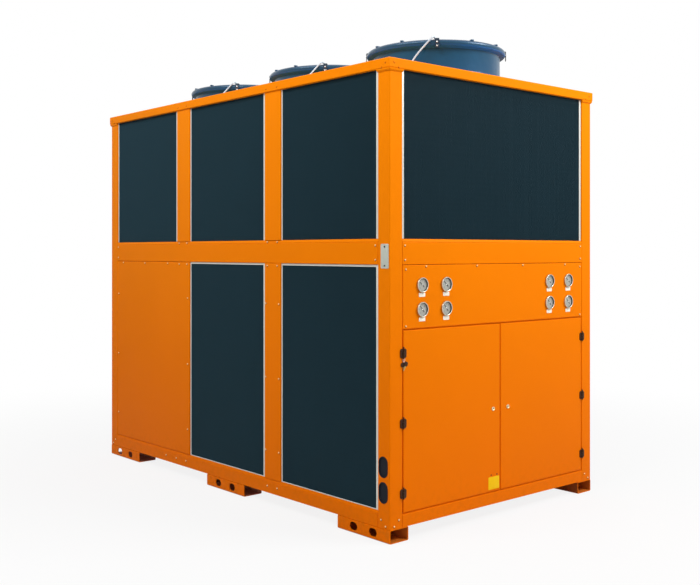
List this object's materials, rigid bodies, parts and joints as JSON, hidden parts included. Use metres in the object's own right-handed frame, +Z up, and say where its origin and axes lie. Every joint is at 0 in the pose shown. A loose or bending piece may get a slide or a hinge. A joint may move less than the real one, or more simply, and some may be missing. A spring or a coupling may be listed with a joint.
{
  "type": "air-cooled industrial heat pump",
  "caption": "Sheet-metal cabinet on box-section feet, finned coils on all sides, axial fans on the roof, gauge panel and hinged doors in front.",
  "frame": {"origin": "on the ground under the middle of the cabinet", "axes": "+X across the cabinet, +Y along it and away from the doors, +Z up"},
  "size_m": [1.45, 2.5, 2.2523],
  "materials": {
    "orange_paint": "semi-gloss",
    "galvanised_sheet": "satin",
    "coated_fins": "matte",
    "cowl_enamel": "gloss",
    "guard_wire": "satin",
    "impeller_black": "satin",
    "cable_sheath": "matte"
  },
  "bodies": {
    "cabinet": {"base_frame": "orange_paint", "foot_left_front": "orange_paint", "foot_left_middle": "orange_paint", "foot_left_back": "orange_paint", "foot_right_front": "orange_paint", "foot_right_middle": "orange_paint", "foot_right_back": "orange_paint", "corner_post_front_left": "orange_paint", "corner_post_front_right": "orange_paint", "corner_post_back_left": "orange_paint", "corner_post_back_right": "orange_paint", "upper_post_left_front": "orange_paint", "upper_post_left_back": "orange_paint", "upper_post_right_front": "orange_paint", "upper_post_right_back": "orange_paint", "lower_post_left": "orange_paint", "lower_post_right": "orange_paint", "mid_rail_front": "orange_paint", "mid_rail_back": "orange_paint", "mid_rail_left": "orange_paint", "mid_rail_right": "orange_paint", "roof": "orange_paint", "plenum_floor": "galvanised_sheet", "coil_left_upper_front": "coated_fins", "coil_left_upper_middle": "coated_fins", "coil_left_upper_back": "coated_fins", "coil_right_upper_front": "coated_fins", "coil_right_upper_middle": "coated_fins", "coil_right_upper_back": "coated_fins", "coil_front_upper": "coated_fins", "coil_back_upper": "coated_fins", "coil_left_lower_front": "coated_fins", "coil_left_lower_middle": "coated_fins", "coil_right_lower_front": "coated_fins", "coil_right_lower_middle": "coated_fins", "side_panel_left": "orange_paint", "side_panel_right": "orange_paint", "back_panel": "orange_paint", "gauge_panel": "orange_paint", "control_box": "galvanised_sheet", "fan_front_cowl": "cowl_enamel", "fan_front_guard": "guard_wire", "fan_front_cable": "cable_sheath", "fan_middle_cowl": "cowl_enamel", "fan_middle_guard": "guard_wire", "fan_middle_cable": "cable_sheath", "fan_back_cowl": "cowl_enamel", "fan_back_guard": "guard_wire", "fan_back_cable": "cable_sheath"},
    "left_door": {"door_left": "orange_paint"},
    "right_door": {"door_right": "orange_paint"},
    "front_rotor": {"fan_front_impeller": "impeller_black"},
    "middle_rotor": {"fan_middle_impeller": "impeller_black"},
    "back_rotor": {"fan_back_impeller": "impeller_black"}
  },
  "joints": [
    {"name": "left_door_hinge", "type": "hinge", "parent": "cabinet", "child": "left_door", "pos_m": [-0.6375, -1.245, 0.505], "axis": [0, 0, -1], "range_deg": [0, 120]},
    {"name": "right_door_hinge", "type": "hinge", "parent": "cabinet", "child": "right_door", "pos_m": [0.6375, -1.245, 0.505], "axis": [0, 0, 1], "range_deg": [0, 120]},
    {"name": "front_fan_spin", "type": "hinge", "parent": "cabinet", "child": "front_rotor", "pos_m": [0, -0.82, 2.15], "axis": [0, 0, 1], "continuous": true},
    {"name": "middle_fan_spin", "type": "hinge", "parent": "cabinet", "child": "middle_rotor", "pos_m": [0, 0, 2.15], "axis": [0, 0, 1], "continuous": true},
    {"name": "back_fan_spin", "type": "hinge", "parent": "cabinet", "child": "back_rotor", "pos_m": [0, 0.82, 2.15], "axis": [0, 0, 1], "continuous": true}
  ]
}
